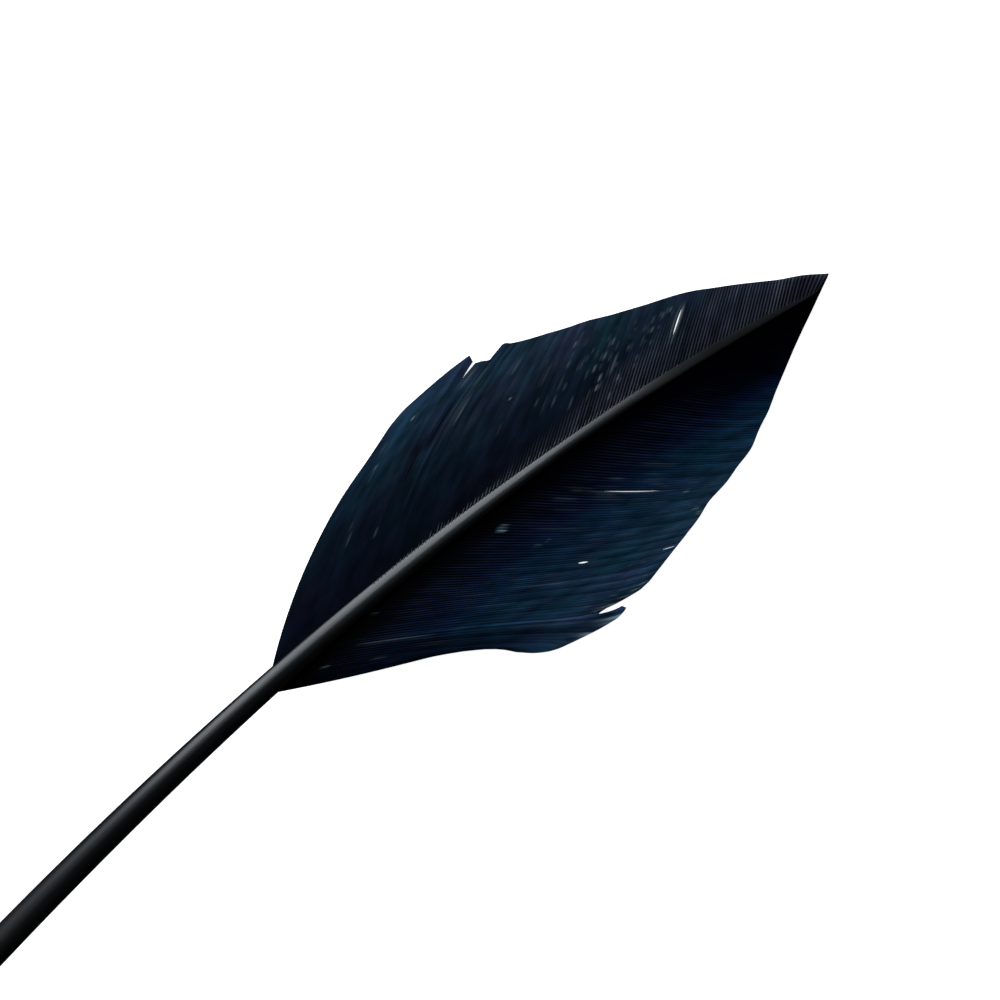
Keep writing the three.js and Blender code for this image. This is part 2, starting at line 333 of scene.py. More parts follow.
# How barbs differ by chance, smoothly over a few of them and singly, in length, in tone and in how strong
# their ridges' painted highlight is, and the widths of the locks that they cling together in, with each
# lock's own tone.
LENGTH_WANDER = 0.0015
TONE_WANDER = 0.5
TONE_CHANCE = 0.25
GLEAM_LEVEL = 0.7
GLEAM_WANDER = 0.3
GLEAM_CHANCE = 0.25
LOCK_WIDTHS = (1.8, 5.5)
LOCK_TONE = 0.6
# A strewn fleck's half length and strength, as shares of those in its row, and the half width in mm of a
# mark that lies on one barb.
FLECK_HALVES = (0.2, 0.5)
FLECK_STRENGTHS = (0.3, 1)
ONE_BARB = 0.3
# A mark or a parting swells fast at its ends, and one that reaches the barb's end is still open there.
SWELL_POWER = 0.8
OPEN_END = 1.02
# A parting pushes the barbs within four times its spread: fully at 0.4 mm from its middle, and less beyond.
SLIT_REACH = 4
NEAREST_BARB = 0.4
# A ridge fades over the last 0.8 mm of its barb, to 0.3 of its height. The underside is at least 0.05 mm
# deep, or half as deep as the ridge is high. A lock is domed from 0.1 to 0.6 of the barb outwards.
RIDGE_FADE = 0.8
RIDGE_LEFT = 0.3
UNDERSIDE_DEPTH = 0.05
UNDERSIDE_SHARE = 0.5
CROWN_RISE = (0.1, 0.6)
# The margin is darker from 0.965 of the barb outwards, a painted shade along the edge, and marks show less
# beside the ridge than on it.
MARGIN_FROM = 0.965
MARGIN_SHADE = 0.18
EDGE_WEAR = 0.4
# In the bake map each barb has one strip, which its top and its underside share.
STRIP_SHARE = 0.9
# Some of the barbs' ends: the root's distance along the shaft, and the end's place on the plan.
LEFT_MARGIN = (
    (166, 190.4, 28.1), (167.1, 194.0, 29.2), (168.2, 197.7, 30.1), (169.4, 201.4, 30.9),
    (171, 205.1, 31.8), (172.7, 208.9, 32.7), (174.6, 212.6, 33.1), (177, 216.5, 33.05),
    (180.3, 220.3, 32.9), (184, 224.4, 32.6), (186.2, 226.7, 32.2), (186.8, 226.3, 31.4),
    (187.4, 226.4, 30.8), (188.2, 227.3, 30.3), (190.6, 229.1, 29.4), (191.3, 231.8, 29.9),
    (196, 233.3, 29.0), (201.6, 235.2, 27.9), (209, 238.5, 26.3), (216.2, 241.9, 24.6),
    (222.4, 245.3, 23.1), (228.6, 248.6, 21.3), (234.4, 252, 19.6), (239.7, 255.4, 17.95),
    (245.1, 258.8, 16.4), (250.5, 262.1, 14.6), (256, 265.2, 12.5), (261.2, 268.3, 10.4),
    (266.2, 271.3, 8.2), (271.2, 274.4, 5.95), (275.5, 277.6, 3.95), (280, 281.2, 1.05),
)
# The angles at which barbs leave the shaft, and where along them their curve bends.
LEFT_ANGLES = ((166, 36), (172, 36), (186, 38), (232, 40), (265, 46), (276, 50), (280, 29))
LEFT_BEND = 0.5
# The vane falls to its margin in an arch, and its barbs' ends don't swing aside.
ARCH_POWER = 1.6
NO_SAG = ((0, 0), (280, 0))

# The shaft's line as points, with the distance along it and the heading at each.
LINE_STEPS = 2001
line_steps = np.linspace(0, 1, LINE_STEPS)[:, None]
line_points = np.zeros((LINE_STEPS, 2))
for order, control in enumerate(SHAFT_LINE):
    weight = math.comb(3, order) * line_steps ** order * (1 - line_steps) ** (3 - order)
    line_points += weight * np.array(control)
line_lengths = np.concatenate([[0], np.cumsum(np.linalg.norm(np.diff(line_points, axis=0), axis=1))])
line_lengths *= SHAFT_LENGTH / line_lengths[-1]
line_turns = np.unwrap(np.arctan2(*np.gradient(line_points, axis=0).T[::-1]))
coarse_line = line_points[::5]


def vane_point(vane, distance, t):
    """A point of a vane's middle layer on the plan, in mm: a barb's curve from the shaft to the margin."""
    half_width, half_height, middle = shaft_size(distance)
    heading = np.interp(distance, line_lengths, line_turns)
    inset = vane["side"] * ROOT_SHARE * half_width
    root_x = np.interp(distance, line_lengths, line_points[:, 0]) - inset * np.sin(heading)
    root_y = np.interp(distance, line_lengths, line_points[:, 1]) + inset * np.cos(heading)
    sag = vane["side"] * along(vane["sags"], distance)[..., 0]
    end = along(vane["margin"], distance)
    end_x = end[..., 0]
    end_y = end[..., 1] - sag
    length = np.hypot(end_x - root_x, end_y - root_y)
    leaving = heading + vane["side"] * np.radians(along(vane["angles"], distance)[..., 0])
    elbow_x = root_x + np.cos(leaving) * vane["bend"] * length
    elbow_y = root_y + np.sin(leaving) * vane["bend"] * length
    t = np.clip(t, 0, 1)
    x = root_x * (1 - t) ** 2 + 2 * elbow_x * t * (1 - t) + end_x * t ** 2
    y = root_y * (1 - t) ** 2 + 2 * elbow_y * t * (1 - t) + end_y * t ** 2 + sag * t ** SAG_POWER
    root_height = np.maximum(middle + ROOT_RISE_SHARE * half_height, MARGIN_HEIGHT)
    z = MARGIN_HEIGHT + (root_height - MARGIN_HEIGHT) * vane["fall"](t)
    return np.stack([x, y, z], -1)


def wander(random, count, cell, reach):
    """A smooth random line of count values, with a bend about every cell values."""
    knots = random.uniform(-reach, reach, max(4, int(count / cell) + 3))
    rows = np.stack([np.linspace(-0.01, count, len(knots)), knots], -1)
    return along(rows, np.arange(count, dtype=float))[:, 0]


def barb_roots(first):
    """Where barbs leave the shaft, in mm along it, with the widths that they take up there."""
    edges = [first]
    while edges[-1] < SHAFT_LENGTH:
        edges.append(edges[-1] + float(along(BARB_PITCHES, edges[-1])[0]))
    edges = np.array(edges)
    edges = first + (edges - first) * (SHAFT_LENGTH - first) / (edges[-1] - first)
    return (edges[1:] + edges[:-1]) / 2, np.diff(edges)


def swell(low, high, t):
    """0 outside the stretch from low to high, rising to 1 in its middle; it stays open at a barb's end."""
    if high >= 1:
        return smooth(low, OPEN_END, t)
    return np.sin(math.pi * np.clip((t - low) / (high - low), 0, 1)) ** SWELL_POWER


def strewn_flecks(vane, place, random):
    """The marks that a barb gets by chance, as rows like those of the marks with a place of their own."""
    rows = []
    for first, last, near, far, often, share, strength in vane["flecks"]:
        if first < place < last:
            for _ in range(random.poisson(often)):
                at = random.uniform(near, far)
                half = share * random.uniform(*FLECK_HALVES)
                shown = strength * random.uniform(*FLECK_STRENGTHS)
                rows.append((place, at - half, at + half, ONE_BARB, shown))
    return rows


def barb_stations(rows, place):
    """Where a barb has a cross section, as shares of its length, closer in short marks and partings."""
    stations = list(STATIONS)
    for s, low, high, *rest in rows:
        if abs(s - place) < MARK_REACH and high - low < SHORT_MARK:
            stations.extend(np.clip(np.linspace(low, high, MARK_STATIONS), 0, 1))
    t = np.sort(stations)
    t = t[np.concatenate([[True], np.diff(t) > LEAST_STEP])]
    t[-1] = 1
    return t


def pushed_aside(vane, roots, place, pitch, t):
    """How far partings push a barb along the shaft, in mm, at each of its cross sections."""
    shift = np.zeros(len(t))
    for s, low, high, width, bias, spread in vane["slits"]:
        boundary = roots[np.argmin(abs(roots - s))] + 0.5 * pitch
        apart = place - boundary
        if abs(apart) < SLIT_REACH * spread:
            push = 0.5 * width * (1 + np.sign(apart) * bias) + BARB_OVERLAP * pitch
            fading = math.exp(-(abs(apart) - NEAREST_BARB) / spread)
            shift += np.sign(apart) * push * swell(low, high, t) * fading
    return shift


def build_vane(name, vane, random):
    """Joins a vane's barbs in one mesh. Each is a closed ribbon, bent aside where the vane has parted."""
    roots, pitches = barb_roots(vane["margin"][0][0])
    count = len(roots)
    reach = 1 + wander(random, count, 4, LENGTH_WANDER)
    tones = wander(random, count, 3, TONE_WANDER) + random.uniform(-TONE_CHANCE, TONE_CHANCE, count)
    gleams = GLEAM_LEVEL + wander(random, count, 5, GLEAM_WANDER)
    gleams = gleams + random.uniform(-GLEAM_CHANCE, GLEAM_CHANCE, count)
    lock_edges = [roots[0] - 1]
    while lock_edges[-1] < SHAFT_LENGTH:
        lock_edges.append(lock_edges[-1] + random.uniform(*LOCK_WIDTHS))
    lock_edges = np.array(lock_edges)
    lock_tones = random.uniform(-1, 1, len(lock_edges))
    points = []
    faces = []
    traits = []
    sides = len(vane["section"])
    base = 0
    for barb, (place, pitch) in enumerate(zip(roots, pitches)):
        marks = list(vane["marks"]) + strewn_flecks(vane, place, random)
        t = barb_stations(list(vane["slits"]) + marks, place)
        shift = pushed_aside(vane, roots, place, pitch, t)
        # A barb's wear and shade: painted shade along its margin, and the marks, paler where rubbed, and
        # darker in dark flecks and in painted shade.
        wear_and_shade = -MARGIN_SHADE * smooth(MARGIN_FROM, 1, t)
        for s, low, high, spread, strength in marks:
            wear_and_shade += strength * swell(low, high, t) * math.exp(-((place - s) / spread) ** 2)
        lock = np.searchsorted(lock_edges, place) - 1
        middle = vane_point(vane, np.clip(place + shift, 0, SHAFT_LENGTH), t * reach[barb])
        run = np.concatenate([[0], np.cumsum(np.linalg.norm(np.diff(middle[:, :2], axis=0), axis=1))])
        out = np.sqrt(np.min(np.sum((middle[:, None, :2] - coarse_line[None]) ** 2, -1), 1))
        ridge = vane["ridge"](place, out) * np.clip((run[-1] - run) / RIDGE_FADE, RIDGE_LEFT, 1)
        gleam = vane["gleam"](place, out) * gleams[barb]
        lift = vane["crown"] * smooth(*CROWN_RISE, t)
        under = np.maximum(UNDERSIDE_DEPTH, UNDERSIDE_SHARE * ridge)
        ring = []
        for f, rise in vane["section"]:
            spot = vane_point(vane, np.clip(place + shift + f * pitch, 0, SHAFT_LENGTH), t * reach[barb])
            share = np.interp(place + f * pitch, lock_edges, np.arange(len(lock_edges))) % 1
            spot[:, 2] += 4 * share * (1 - share) * lift
            spot[:, 2] += rise * (ridge if rise > 0 else under)
            ring.append(spot)
        points.append(np.stack(ring, 1).reshape(-1, 3))
        crest = np.array([1.0 if rise == 1 else 0.0 for f, rise in vane["section"]])
        unrolled = np.array([(barb + 0.5 + STRIP_SHARE * f) / count for f, rise in vane["section"]])
        traits.append(np.stack([
            np.full(len(t) * sides, place),
            np.repeat(run, sides),
            np.repeat(out, sides),
            np.outer(gleam, crest).ravel(),
            np.full(len(t) * sides, tones[barb] + LOCK_TONE * lock_tones[lock]),
            np.outer(wear_and_shade, EDGE_WEAR + (1 - EDGE_WEAR) * crest).ravel(),
            np.repeat(t, sides),
            np.tile(unrolled, len(t)),
        ], -1))
        for row in range(len(t) - 1):
            for k in range(sides):
                a = base + row * sides + k
                b = base + row * sides + (k + 1) % sides
                faces.append((a, b, b + sides, a + sides))
        faces.append(tuple(base + k for k in reversed(range(sides))))
        base += len(t) * sides
        faces.append(tuple(base - sides + k for k in range(sides)))
    points = (np.concatenate(points) - [*BOX_MIDDLE, 0]) * MM
    traits = np.concatenate(traits).astype(np.float32)
    mesh = bpy.data.meshes.new(name)
    mesh.from_pydata(points.tolist(), [], faces)
    made = bpy.data.objects.new(name, mesh)
    bpy.context.scene.collection.objects.link(made)
    mesh.attributes.new("comb", "FLOAT_VECTOR", "POINT").data.foreach_set("vector", traits[:, :3].ravel())
    for column, trait in ((3, "gleam"), (4, "tone"), (5, "wear_and_shade")):
        mesh.attributes.new(trait, "FLOAT", "POINT").data.foreach_set("value", traits[:, column].copy())
    corners = np.empty(len(mesh.loops), np.int32)
    mesh.loops.foreach_get("vertex_index", corners)
    bake_map = mesh.uv_layers.new(name="OFBake")
    bake_map.data.foreach_set("uv", traits[corners][:, 6:8].ravel())
    bpy.ops.object.select_all(action="DESELECT")
    made.select_set(True)
    bpy.context.view_layer.objects.active = made
    bpy.ops.object.mode_set(mode="EDIT")
    bpy.ops.mesh.select_all(action="SELECT")
    bpy.ops.mesh.normals_make_consistent(inside=False)
    bpy.ops.object.mode_set(mode="OBJECT")
    bpy.ops.object.shade_smooth_by_angle(angle=math.radians(20))
    return made


# Partings: distance along the shaft, the shares of the barb between which it is open, how far it opens, how
# much more of that the upper barbs take, and how far the push spreads, in mm.
LEFT_SLITS = ((187.0, 0.885, 1, 0.5, 0, 1.3), (249.0, 0.46, 0.83, 0.34, 0, 1.3))
# Marks on the barbs: distance along the shaft, the shares of the barb between which they lie, their half
# width in mm, and how strong they are. Above 0 they are paler, rubbed barbs, above 1 brighter still, and
# below 0 darker. The dark pair at 187.7 and 189.1 mm is painted shade in a groove between locks.
LEFT_MARKS = (
    (189.1, 0.57, 0.86, 0.9, -1.3), (187.7, 0.42, 0.63, 0.8, -1.1), (192.5, 0.55, 0.84, 1.8, 0.14),
    (194.6, 0.6, 0.76, 0.45, 0.6), (188.6, 0.46, 0.66, 0.45, 0.4), (193.6, 0.78, 0.9, 0.5, 0.35),
    (188.4, 0.86, 0.98, 0.6, 0.4), (227, 0.58, 0.76, 0.4, 0.6), (231.5, 0.5, 0.58, 0.4, 0.7),
    (233.6, 0.38, 0.46, 0.4, 0.9), (233.6, 0.3, 0.37, 0.4, 0.9), (232.6, 0.58, 0.66, 0.4, 0.8),
    (235.9, 0.38, 0.6, 0.4, 0.7), (238.3, 0.28, 0.36, 0.4, 0.8), (233.5, 0.69, 0.77, 0.4, 0.6),
    (237.7, 0.13, 0.21, 0.4, 0.6), (243, 0.64, 0.72, 0.4, 0.9), (246.1, 0.8, 0.88, 0.4, 1),
    (206, 0.78, 0.88, 0.4, 0.4), (217.5, 0.59, 0.77, 0.4, 0.4), (222.6, 0.8, 0.86, 0.4, 0.5),
    (180, 0.823, 0.843, 0.4, 1.8), (175.7, 0.69, 0.715, 0.4, 0.6), (209.8, 0.605, 0.625, 0.4, 1.2),
    (177.6, 0.33, 0.4, 0.4, 0.3), (185.2, 0.24, 0.29, 0.4, 0.3), (249.2, 0.42, 0.87, 0.5, 1.2),
    (276.2, 0.8, 1, 2.6, 0.3), (279.4, 0.6, 1, 1, 0.3), (271.5, 0.9, 1, 2, 0.2),
)
# Flecks strewn by chance: first and last place along the shaft, the shares of the barb between which they
# lie, how many a barb has, their greatest length as a share of the barb, and how strong they are.
LEFT_FLECKS = (
    (222, 242, 0.2, 0.75, 1, 0.14, 0.33), (208, 243, 0.4, 0.95, 0.6, 0.11, 0.2),
    (236, 250, 0.5, 0.92, 0.6, 0.1, 0.3),
    (188, 216, 0.45, 0.97, 0.35, 0.16, 0.22), (168, 190, 0.2, 0.95, 0.3, 0.12, 0.17),
    (168, 232, 0.2, 0.95, 0.5, 0.35, -0.35),
)
# How far from the shaft the rami stand sharp, and how strong their painted highlight is there, by distance
# along the shaft.
LEFT_RIDGE_REACH = ((166, 0.5), (205, 1), (222, 3.5), (235, 5), (246, 7), (258, 12), (280, 30))
LEFT_RIDGE_FADE = (0.5, 1.3)
LEFT_GLEAMS = (
    (166, 0.4), (215, 0.4), (236, 0.8), (247, 0.7), (258, 0.5), (267, 0.6), (274, 0.85), (280, 0.9),
)
# Heights in mm: of a ridge that has sunk in, of what a sharp one adds to that, and of a lock's dome.
LEFT_RIDGE_SUNK = 0.02
LEFT_RIDGE_SHARP = 0.06
LEFT_CROWN = 0.12
# A barb's cross section: places across it in pitches, and heights in heights of its ridge, or in depths of
# its underside where they are below 0. The ridge lies towards the quill.
LEFT_SECTION = ((-0.6, 0), (-0.18, 1), (0.12, 0.3), (0.6, -0.6), (-0.18, -1))


def left_sharp(place, out):
    """1 where the rami stand sharp, near the shaft and the tip, and 0 where they sink in the sheet."""
    reach = along(LEFT_RIDGE_REACH, place)[..., 0]
    return 1 - smooth(LEFT_RIDGE_FADE[0] * reach, LEFT_RIDGE_FADE[1] * reach, out)


left = {
    "side": 1, "margin": LEFT_MARGIN, "angles": LEFT_ANGLES, "bend": LEFT_BEND, "sags": NO_SAG,
    "fall": lambda t: 1 - t ** ARCH_POWER, "slits": LEFT_SLITS, "marks": LEFT_MARKS,
    "flecks": LEFT_FLECKS, "crown": LEFT_CROWN, "section": LEFT_SECTION,
    "ridge": lambda place, out: LEFT_RIDGE_SUNK + LEFT_RIDGE_SHARP * left_sharp(place, out),
    "gleam": lambda place, out: left_sharp(place, out) * along(LEFT_GLEAMS, place)[..., 0],
}
left_vane = build_vane("left_vane", left, np.random.default_rng(11))

# Dyed barbs: soft matt keratin. The colour is darkest at the shaft and paler and bluer towards the margin:
# partly the dye, and partly painted shade near the shaft and painted sheen further out. The dye took in
# blotches about six barbs wide, that drift towards purple or green, with streaks about three barbs wide and
# three times as long. The colour ramps end 30 mm from the shaft. The foot's gives way to the tip's between
# two places along it.
DEEPEST = 30
FOOT_DYE_TO = 172.0
TIP_DYE_FROM = 240.0
# Widths in mm, and shares of each axis: along the shaft, along the barb and away from the shaft.
STREAK_WIDTH = 2.2
STREAK_STRETCH = (1, 0.3, 0)
BLOTCH_WIDTH = 5.0
BLOTCH_STRETCH = (1, 0.8, 0)
BLOTCH_DEPTH = 0.45
TONE_SHARE = 0.05
# How far red, green and blue swing as the dye drifts from green to purple, in a pattern of its own that is
# read far away in the noise, at 0.7 of the blotches' scale.
TINT_SPREAD = (1.5, -0.6, 0.1)
HUE_SCALE = 0.7
HUE_AWAY = (37, 11, 5)
# The colour that dark marks and flecks turn to, which along the margin and in the groove between locks is
# painted shade, and the barbs' matt skin.
DARK_MARK_COLOUR = "#020305"
BARB_ROUGHNESS = 0.85
BARB_SPECULAR = 0.03


def vane_material(name, foot_stops, tip_stops, gleam_colour, rubbed_colour, streak_depth):
    """Dyed barbs, by distance from the shaft at the vane's foot and tip: dye, painted shade and painted
    sheen.
    """
    made, tree, shader = new_material(name)
    comb = node(tree, "ShaderNodeAttribute", attribute_name="comb")
    gleam = node(tree, "ShaderNodeAttribute", attribute_name="gleam")
    tone = node(tree, "ShaderNodeAttribute", attribute_name="tone")
    wear_and_shade = node(tree, "ShaderNodeAttribute", attribute_name="wear_and_shade")
    place = node(tree, "ShaderNodeSeparateXYZ", {"Vector": comb.outputs["Vector"]})
    depth = node(tree, "ShaderNodeMath", {0: place.outputs["Z"], 1: 1 / DEEPEST}, operation="MULTIPLY")
    foot = ramp(tree, depth.outputs["Value"], [(at / DEEPEST, linear(colour)) for at, colour in foot_stops])
    tip = ramp(tree, depth.outputs["Value"], [(at / DEEPEST, linear(colour)) for at, colour in tip_stops])
    tipwards = node(tree, "ShaderNodeMapRange", {"Value": place.outputs["X"], "From Min": FOOT_DYE_TO,
                                                 "From Max": TIP_DYE_FROM})
    dye = node(tree, "ShaderNodeMixRGB", {"Fac": tipwards.outputs["Result"], "Color1": foot, "Color2": tip})

    streak_at = node(tree, "ShaderNodeVectorMath", {0: comb.outputs["Vector"], 1: STREAK_STRETCH},
                     operation="MULTIPLY")
    streak = node(tree, "ShaderNodeTexNoise", {"Vector": streak_at.outputs["Vector"],
                                               "Scale": 1 / STREAK_WIDTH, "Detail": 3.0, "Roughness": 0.6})
    mixed = node(tree, "ShaderNodeMath", {0: tone.outputs["Fac"], 1: TONE_SHARE, 2: streak.outputs["Fac"]},
                 operation="MULTIPLY_ADD")
    light = node(tree, "ShaderNodeMapRange", {"Value": mixed.outputs["Value"], "From Min": 0.25,
                                              "From Max": 0.75, "To Min": 1 - streak_depth,
                                              "To Max": 1 + streak_depth})
    blotch_at = node(tree, "ShaderNodeVectorMath", {0: comb.outputs["Vector"], 1: BLOTCH_STRETCH},
                     operation="MULTIPLY")
    blotch = node(tree, "ShaderNodeTexNoise", {"Vector": blotch_at.outputs["Vector"],
                                               "Scale": 1 / BLOTCH_WIDTH, "Detail": 2.0})
    shade = node(tree, "ShaderNodeMapRange", {"Value": blotch.outputs["Fac"], "From Min": 0.3,
                                              "From Max": 0.7, "To Min": 1 - BLOTCH_DEPTH,
                                              "To Max": 1 + BLOTCH_DEPTH})
    hue_at = node(tree, "ShaderNodeVectorMath", {0: blotch_at.outputs["Vector"], 1: HUE_AWAY},
                  operation="ADD")
    hue = node(tree, "ShaderNodeTexNoise", {"Vector": hue_at.outputs["Vector"],
                                            "Scale": HUE_SCALE / BLOTCH_WIDTH, "Detail": 2.0})
    no_tint = [1 - 0.5 * swing for swing in TINT_SPREAD]
    tint = node(tree, "ShaderNodeVectorMath", {0: hue.outputs["Fac"], 1: TINT_SPREAD, 2: no_tint},
                operation="MULTIPLY_ADD")
    tinted = node(tree, "ShaderNodeVectorMath", {0: dye.outputs["Color"], 1: tint.outputs["Vector"]},
                  operation="MULTIPLY")
    shaded = node(tree, "ShaderNodeVectorMath", {0: tinted.outputs["Vector"], 1: shade.outputs["Result"]},
                  operation="MULTIPLY")
    streaked = node(tree, "ShaderNodeVectorMath", {0: shaded.outputs["Vector"], 1: light.outputs["Result"]},
                    operation="MULTIPLY")

    # The gleam colour on the ridges is a painted highlight on the rami, partly also their paler own tone,
    # broken up by the streaks.
    broken = node(tree, "ShaderNodeMapRange", {"Value": streak.outputs["Fac"], "From Min": 0.35,
                                               "From Max": 0.65, "To Min": 0.5, "To Max": 1.4})
    ridge = node(tree, "ShaderNodeMath", {0: gleam.outputs["Fac"], 1: broken.outputs["Result"]},
                 operation="MULTIPLY")
    ridged = node(tree, "ShaderNodeVectorMath", {0: ridge.outputs["Value"], 1: linear(gleam_colour)[:3],
                                                 2: streaked.outputs["Vector"]}, operation="MULTIPLY_ADD")
    # Marks above 0 turn towards the rubbed colour, brighter above 1, and below 0 towards the dark colour,
    # which along the margin and between locks is painted shade.
    pale = node(tree, "ShaderNodeMath", {0: wear_and_shade.outputs["Fac"], 1: 1.0}, operation="MULTIPLY",
                use_clamp=True)
    bare = node(tree, "ShaderNodeMath", {0: wear_and_shade.outputs["Fac"], 1: 1.0}, operation="MAXIMUM")
    horn = node(tree, "ShaderNodeVectorMath", {0: bare.outputs["Value"], 1: linear(rubbed_colour)[:3]},
                operation="MULTIPLY")
    rubbed = node(tree, "ShaderNodeMixRGB", {"Fac": pale.outputs["Value"],
                                             "Color1": ridged.outputs["Vector"],
                                             "Color2": horn.outputs["Vector"]})
    dark = node(tree, "ShaderNodeMath", {0: wear_and_shade.outputs["Fac"], 1: -1.0}, operation="MULTIPLY",
                use_clamp=True)
    sunk = node(tree, "ShaderNodeMixRGB", {"Fac": dark.outputs["Value"], "Color1": rubbed.outputs["Color"],
                                           "Color2": linear(DARK_MARK_COLOUR)})
    tree.links.new(sunk.outputs["Color"], shader.inputs["Base Color"])
    shader.inputs["Roughness"].default_value = BARB_ROUGHNESS
    shader.inputs["IOR"].default_value = KERATIN_IOR
    shader.inputs["Specular IOR Level"].default_value = BARB_SPECULAR
    return made


# Distance from the shaft's middle in mm, and the colour there: dye, darkened near the shaft by painted
# shade and brightened outwards by painted sheen.
LEFT_DYE_SHADE_AND_SHEEN = ((0, "#080f17"), (3, "#050c18"), (4.5, "#080f1d"), (6.5, "#0a0f1d"), (9, "#06101c"),
            (12, "#081520"), (15, "#0a1b28"), (22, "#182f42"))
LEFT_TIP_DYE_SHADE_AND_SHEEN = ((0, "#10141b"), (3, "#0d121e"), (7, "#0c1825"), (12, "#1a2736"), (16, "#273647"),
                (22, "#2e4055"))
# The gleam colour is the rami's painted highlight, and the rubbed colour that of pale rubbed barbs.
LEFT_GLEAM = "#53535f"
LEFT_RUBBED = "#6a757c"
LEFT_STREAKS = 0.3
left_vane.data.materials.append(
    vane_material("barbs_left_dye_shade_and_sheen", LEFT_DYE_SHADE_AND_SHEEN, LEFT_TIP_DYE_SHADE_AND_SHEEN, LEFT_GLEAM, LEFT_RUBBED, LEFT_STREAKS))
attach(left_vane, "root")
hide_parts("feather")

# The barbs' feet
# On the left each barb's ramus starts as a short bare ridge of shiny horn, that climbs on to the shaft's
# shoulder and shows there as a row of fine teeth. Their pale grey is a painted highlight, the light that
# the teeth catch beside the shaft's own.

# Their size by distance along the shaft, how much it varies by chance, and the smallest that is there.
FEET_SIZES = ((186, 0), (196, 0.7), (204, 1), (228, 1), (240, 0.6), (262, 0))
FOOT_CHANCE = (0.35, 1.15)
SMALLEST_FOOT = 0.2
# A full foot's length, its start in half widths of the shaft, its width and height, and the half width over
# which its horn's grain is read.
FOOT_RUN = 1.7
FOOT_START_SHARE = 0.74
FOOT_WIDTH = 0.24
FOOT_HEIGHT = 0.14
FOOT_GRAIN = 0.3
# Share of the foot's length, and of its full section there, from the shaft outwards.
FOOT_STATIONS = ((0, 0.3), (0.2, 1), (0.55, 0.7), (1, 0.1))
# The feet stand on the highest surface that a ray from this height meets.
LOOK_DOWN_FROM = 30
bpy.context.view_layer.update()
random = np.random.default_rng(31)
roots, pitches = barb_roots(LEFT_MARGIN[0][0])
points = []
faces = []
stems = []
for place in roots:
    size = random.uniform(*FOOT_CHANCE) * float(along(FEET_SIZES, place)[0])
    if size < SMALLEST_FOOT:
        continue
    half_width = float(shaft_size(place)[0])
    heading = float(np.interp(place, line_lengths, line_turns))
    sideways = np.array([-math.sin(heading), math.cos(heading)])
    middle = np.array([np.interp(place, line_lengths, line_points[:, k]) for k in (0, 1)])
    leaving = heading + math.radians(float(along(LEFT_ANGLES, place)[0]))
    forwards = np.array([math.cos(leaving), math.sin(leaving)])
    across = np.array([-forwards[1], forwards[0]])
    start = middle + sideways * half_width * FOOT_START_SHARE
    length = FOOT_RUN * size
    base = len(points)
    for share, part in FOOT_STATIONS:
        spot = start + forwards * length * share
        above = ((spot[0] - BOX_MIDDLE[0]) * MM, (spot[1] - BOX_MIDDLE[1]) * MM, LOOK_DOWN_FROM * MM)
        tops = [piece.ray_cast(above, (0, 0, -1)) for piece in (shaft, left_vane)]
        top = max(touch.z for hit, touch, normal, face in tops if hit) / MM
        for side, rise in ((-1, 0), (0, 1), (1, 0), (0, -1)):
            edge = spot + across * side * part * FOOT_WIDTH / 2
            points.append((*edge, top + rise * part * FOOT_HEIGHT))
            stems.append((place, side * FOOT_GRAIN, share))
    rows = len(FOOT_STATIONS)
    for row in range(rows - 1):
        for k in range(4):
            a = base + row * 4 + k
            b = base + row * 4 + (k + 1) % 4
            faces.append((a, b, b + 4, a + 4))
    faces.append(tuple(base + k for k in (3, 2, 1, 0)))
    faces.append(tuple(base + 4 * (rows - 1) + k for k in range(4)))
foot_mesh = bpy.data.meshes.new("barb_feet")
foot_mesh.from_pydata(((np.array(points) - [*BOX_MIDDLE, 0]) * MM).tolist(), [], faces)
barb_feet = bpy.data.objects.new("barb_feet", foot_mesh)
bpy.context.scene.collection.objects.link(barb_feet)
foot_mesh.attributes.new("stem", "FLOAT_VECTOR", "POINT").data.foreach_set(
    "vector", np.array(stems, np.float32).ravel())
bpy.ops.object.select_all(action="DESELECT")
barb_feet.select_set(True)
bpy.context.view_layer.objects.active = barb_feet
bpy.ops.object.mode_set(mode="EDIT")
bpy.ops.mesh.select_all(action="SELECT")
bpy.ops.mesh.normals_make_consistent(inside=False)
bpy.ops.object.mode_set(mode="OBJECT")
bpy.ops.object.shade_smooth_by_angle(angle=math.radians(50))
# Pale grey horn: a painted highlight on the teeth.
barb_feet.data.materials.append(horn_material("pale_horn_painted_highlight", "#2c3234", "#5c6466"))
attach(barb_feet, "root")
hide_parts("feather")

